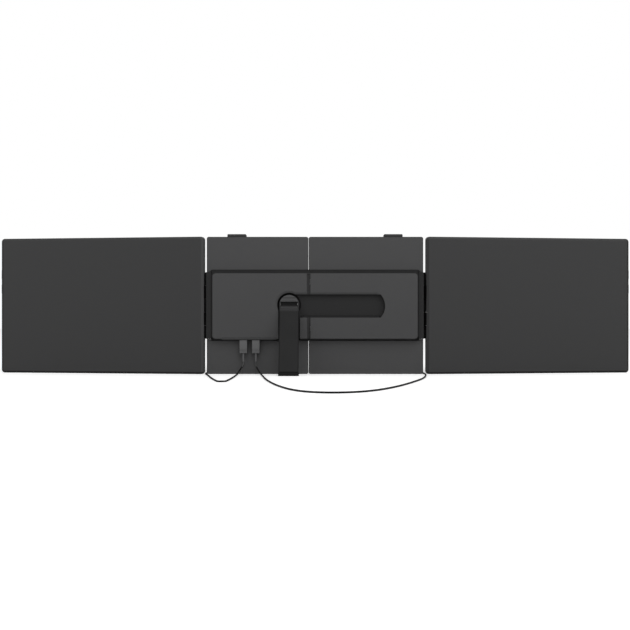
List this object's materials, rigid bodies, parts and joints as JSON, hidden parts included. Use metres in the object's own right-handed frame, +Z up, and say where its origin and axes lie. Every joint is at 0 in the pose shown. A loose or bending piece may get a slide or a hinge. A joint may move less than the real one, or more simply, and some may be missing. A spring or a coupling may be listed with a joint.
{
  "type": "dual portable monitor",
  "caption": "Pair of slim screens hinged to a widening back frame with lid hooks, a turning kickstand and two signal cables, standing on a table.",
  "frame": {"origin": "on the table, in the middle of the frame's width, in the middle of the plates' thickness", "axes": "+X to the right as seen from behind, along the frame; +Y towards the user; +Z up"},
  "size_m": [0.9624, 0.5057, 0.209],
  "materials": {
    "screen_back": "fine matt grey paint on the screens' rear covers",
    "frame_plate": "fine matt grey paint on the frame's plates",
    "housing": "matt grey moulded plastic",
    "tray": "dark grey moulded plastic",
    "leg_metal": "dark grey satin paint",
    "cap_grey": "light grey satin paint",
    "black_plastic": "black moulded plastic",
    "hinge_black": "black satin paint",
    "steel": "brushed steel",
    "rubber": "black rubber",
    "display_glass": "dark glossy display with a smooth surface",
    "light_guide": "white light guide in a tin frame",
    "circuit_board": "green circuit board",
    "plug_grip": "grey moulded plug with a steel shell",
    "cable": "black flexible cable jacket",
    "key": "dark grey key"
  },
  "bodies": {
    "frame": {"left_plate": "frame_plate", "left_lid_pads": "rubber", "left_cover": "housing", "left_cover_screws": "steel", "left_hinge_bracket": "hinge_black", "left_hinge_pin": "steel", "stow_tray": "tray", "lower_fixed_rail": "steel", "upper_fixed_rail": "steel", "hub_board": "circuit_board", "hub_ports": "steel", "port_panel": "black_plastic", "left_hub_plug": "plug_grip", "left_hub_strain_relief": "plug_grip", "left_laptop_plug": "plug_grip", "right_hub_plug": "plug_grip", "right_hub_strain_relief": "plug_grip", "short_cable": "cable", "long_cable": "cable"},
    "right_half": {"right_plate": "frame_plate", "right_lid_pads": "rubber", "right_cover": "housing", "right_cover_screws": "steel", "right_hinge_bracket": "hinge_black", "right_hinge_pin": "steel", "lower_moving_rail": "steel", "upper_moving_rail": "steel", "long_cable_tail": "cable", "right_laptop_plug": "plug_grip"},
    "turntable": {"turntable_disc": "leg_metal", "turntable_cap": "cap_grey", "turntable_retainer": "steel", "kickstand_pin": "steel"},
    "leg": {"kickstand_leg": "leg_metal", "kickstand_foot": "rubber"},
    "left_screen": {"left_hinge_leaf": "hinge_black", "left_rear_cover": "screen_back", "left_bezel": "black_plastic", "left_lcd_panel": "display_glass", "left_backlight": "light_guide", "left_driver_board": "circuit_board"},
    "left_hook": {"left_hook": "black_plastic", "left_hook_pad": "rubber"},
    "left_power_key": {"left_power_key": "key"},
    "left_menu_key": {"left_menu_key": "key"},
    "right_screen": {"right_hinge_leaf": "hinge_black", "right_rear_cover": "screen_back", "right_bezel": "black_plastic", "right_lcd_panel": "display_glass", "right_backlight": "light_guide", "right_driver_board": "circuit_board"},
    "right_hook": {"right_hook": "black_plastic", "right_hook_pad": "rubber"},
    "right_power_key": {"right_power_key": "key"},
    "right_menu_key": {"right_menu_key": "key"}
  },
  "joints": [
    {"name": "frame_slide", "type": "slide", "parent": "frame", "child": "right_half", "axis": [1, 0, 0], "range_m": [0, 0.075]},
    {"name": "left_screen_hinge", "type": "hinge", "parent": "frame", "child": "left_screen", "pos_m": [-0.1641, 0.009, 0.10245], "axis": [0, 0, -1], "range_deg": [-9.5, 170.5]},
    {"name": "right_screen_hinge", "type": "hinge", "parent": "right_half", "child": "right_screen", "pos_m": [0.1641, 0.014, 0.10245], "axis": [0, 0, 1], "range_deg": [-9.5, 170.5]},
    {"name": "turntable_turn", "type": "hinge", "parent": "frame", "child": "turntable", "pos_m": [-0.0384, -0.0104, 0.1034], "axis": [0, -1, 0], "range_deg": [0, 90]},
    {"name": "leg_swing", "type": "hinge", "parent": "turntable", "child": "leg", "pos_m": [-0.0384, -0.011, 0.104], "axis": [-1, 0, 0], "range_deg": [-26, 35]},
    {"name": "left_hook_slide", "type": "slide", "parent": "frame", "child": "left_hook", "axis": [0, 0, 1], "range_m": [0, 0.035]},
    {"name": "left_power_key_press", "type": "slide", "parent": "left_screen", "child": "left_power_key", "axis": [0.9863, -0.165, 0], "range_m": [0, 0.0005], "stiffness_N_per_m": 400},
    {"name": "left_menu_key_press", "type": "slide", "parent": "left_screen", "child": "left_menu_key", "axis": [0.9863, -0.165, 0], "range_m": [0, 0.0005], "stiffness_N_per_m": 400},
    {"name": "right_hook_slide", "type": "slide", "parent": "right_half", "child": "right_hook", "axis": [0, 0, 1], "range_m": [0, 0.035]},
    {"name": "right_power_key_press", "type": "slide", "parent": "right_screen", "child": "right_power_key", "axis": [-0.9863, -0.165, 0], "range_m": [0, 0.0005], "stiffness_N_per_m": 400},
    {"name": "right_menu_key_press", "type": "slide", "parent": "right_screen", "child": "right_menu_key", "axis": [-0.9863, -0.165, 0], "range_m": [0, 0.0005], "stiffness_N_per_m": 400}
  ]
}
